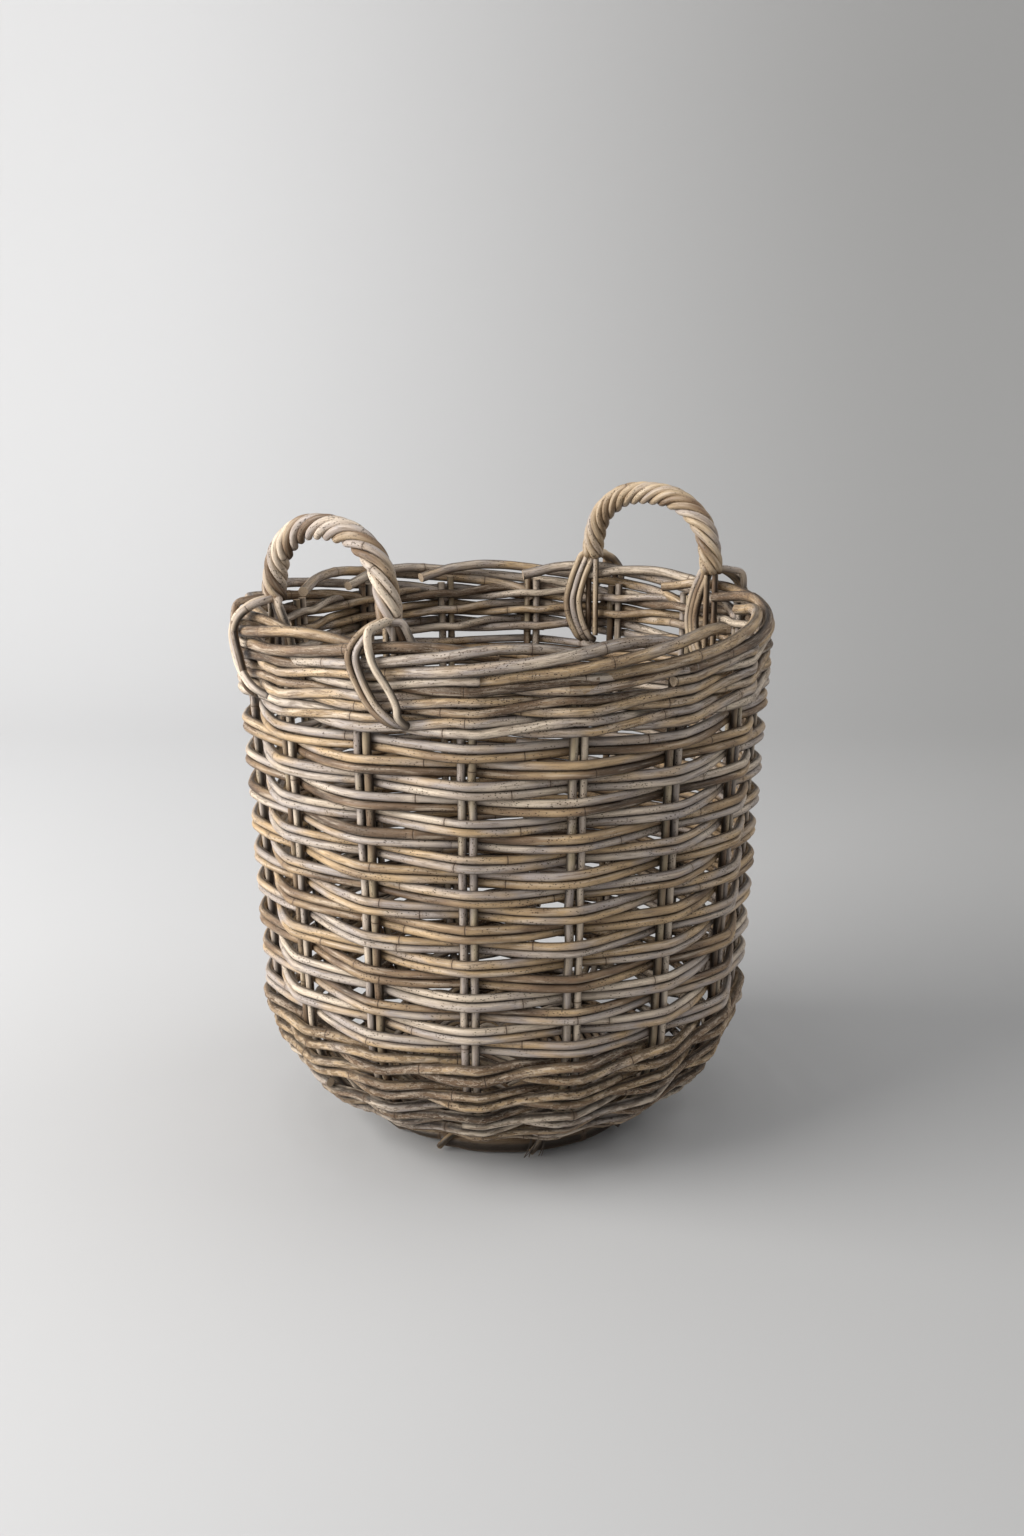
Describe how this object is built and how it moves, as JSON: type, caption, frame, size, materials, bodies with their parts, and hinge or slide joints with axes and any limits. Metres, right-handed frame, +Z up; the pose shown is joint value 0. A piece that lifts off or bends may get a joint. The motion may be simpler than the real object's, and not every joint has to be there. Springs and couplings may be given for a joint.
{
  "type": "woven laundry basket",
  "caption": "Round woven rattan laundry basket with open plain-weave sides, waled bottom and rim, two fixed roped hoop handles and a lashed foot hoop.",
  "frame": {"origin": "centre of the foot hoop on the floor, under the middle of the basket", "axes": "+Z up through the mouth, X through both handles, Y across between them"},
  "size_m": [0.4645, 0.4644, 0.5577],
  "materials": {
    "stake_cane": "dry weathered cane, matte",
    "side_cane": "dry weathered cane, matte, mottled tan and grey",
    "bark_cane": "thick cane with flaking bark, matte",
    "rim_cane": "weathered cane, matte, pale",
    "base_cane": "dry weathered cane, matte",
    "hoop_cane": "thick brown cane with nodes, matte",
    "lashing_cane": "smooth thin cane, satin",
    "handle_cane": "smooth thin cane, satin"
  },
  "bodies": {
    "root": {"stake_pair_01": "stake_cane", "stake_pair_02": "stake_cane", "stake_pair_03": "stake_cane", "stake_pair_04": "stake_cane", "stake_pair_05": "stake_cane", "stake_pair_06": "stake_cane", "stake_pair_07": "stake_cane", "stake_pair_08": "stake_cane", "side_weave_row_01": "side_cane", "side_weave_row_02": "side_cane", "side_weave_row_03": "side_cane", "side_weave_row_04": "side_cane", "side_weave_row_05": "side_cane", "side_weave_row_06": "side_cane", "side_weave_row_07": "side_cane", "side_weave_row_08": "side_cane", "side_weave_row_09": "side_cane", "side_weave_row_10": "side_cane", "side_weave_row_11": "side_cane", "side_weave_row_12": "side_cane", "side_weave_row_13": "side_cane", "side_weave_row_14": "side_cane", "side_weave_row_15": "side_cane", "side_weave_row_16": "side_cane", "side_weave_row_17": "side_cane", "side_weave_row_18": "side_cane", "upsett_wale_row_1": "bark_cane", "upsett_wale_row_2": "bark_cane", "upsett_wale_row_3": "bark_cane", "upsett_wale_row_4": "bark_cane", "upsett_wale_row_5": "bark_cane", "upsett_wale_row_6": "bark_cane", "rim_wale_row_1": "rim_cane", "rim_wale_row_2": "rim_cane", "rim_wale_row_3": "rim_cane", "border_plait": "rim_cane", "border_cap": "rim_cane", "base_binding": "base_cane", "base_weave_row_1": "base_cane", "base_weave_row_2": "base_cane", "base_weave_row_3": "base_cane", "base_weave_row_4": "base_cane", "base_weave_row_5": "base_cane", "base_weave_row_6": "base_cane", "base_weave_row_7": "base_cane", "foot_hoop": "hoop_cane", "foot_lashings": "lashing_cane", "handle_a_core": "handle_cane", "handle_a_roping": "handle_cane", "handle_a_left_leg_loops": "handle_cane", "handle_a_right_leg_loops": "handle_cane", "handle_b_core": "handle_cane", "handle_b_roping": "handle_cane", "handle_b_left_leg_loops": "handle_cane", "handle_b_right_leg_loops": "handle_cane"}
  },
  "joints": []
}
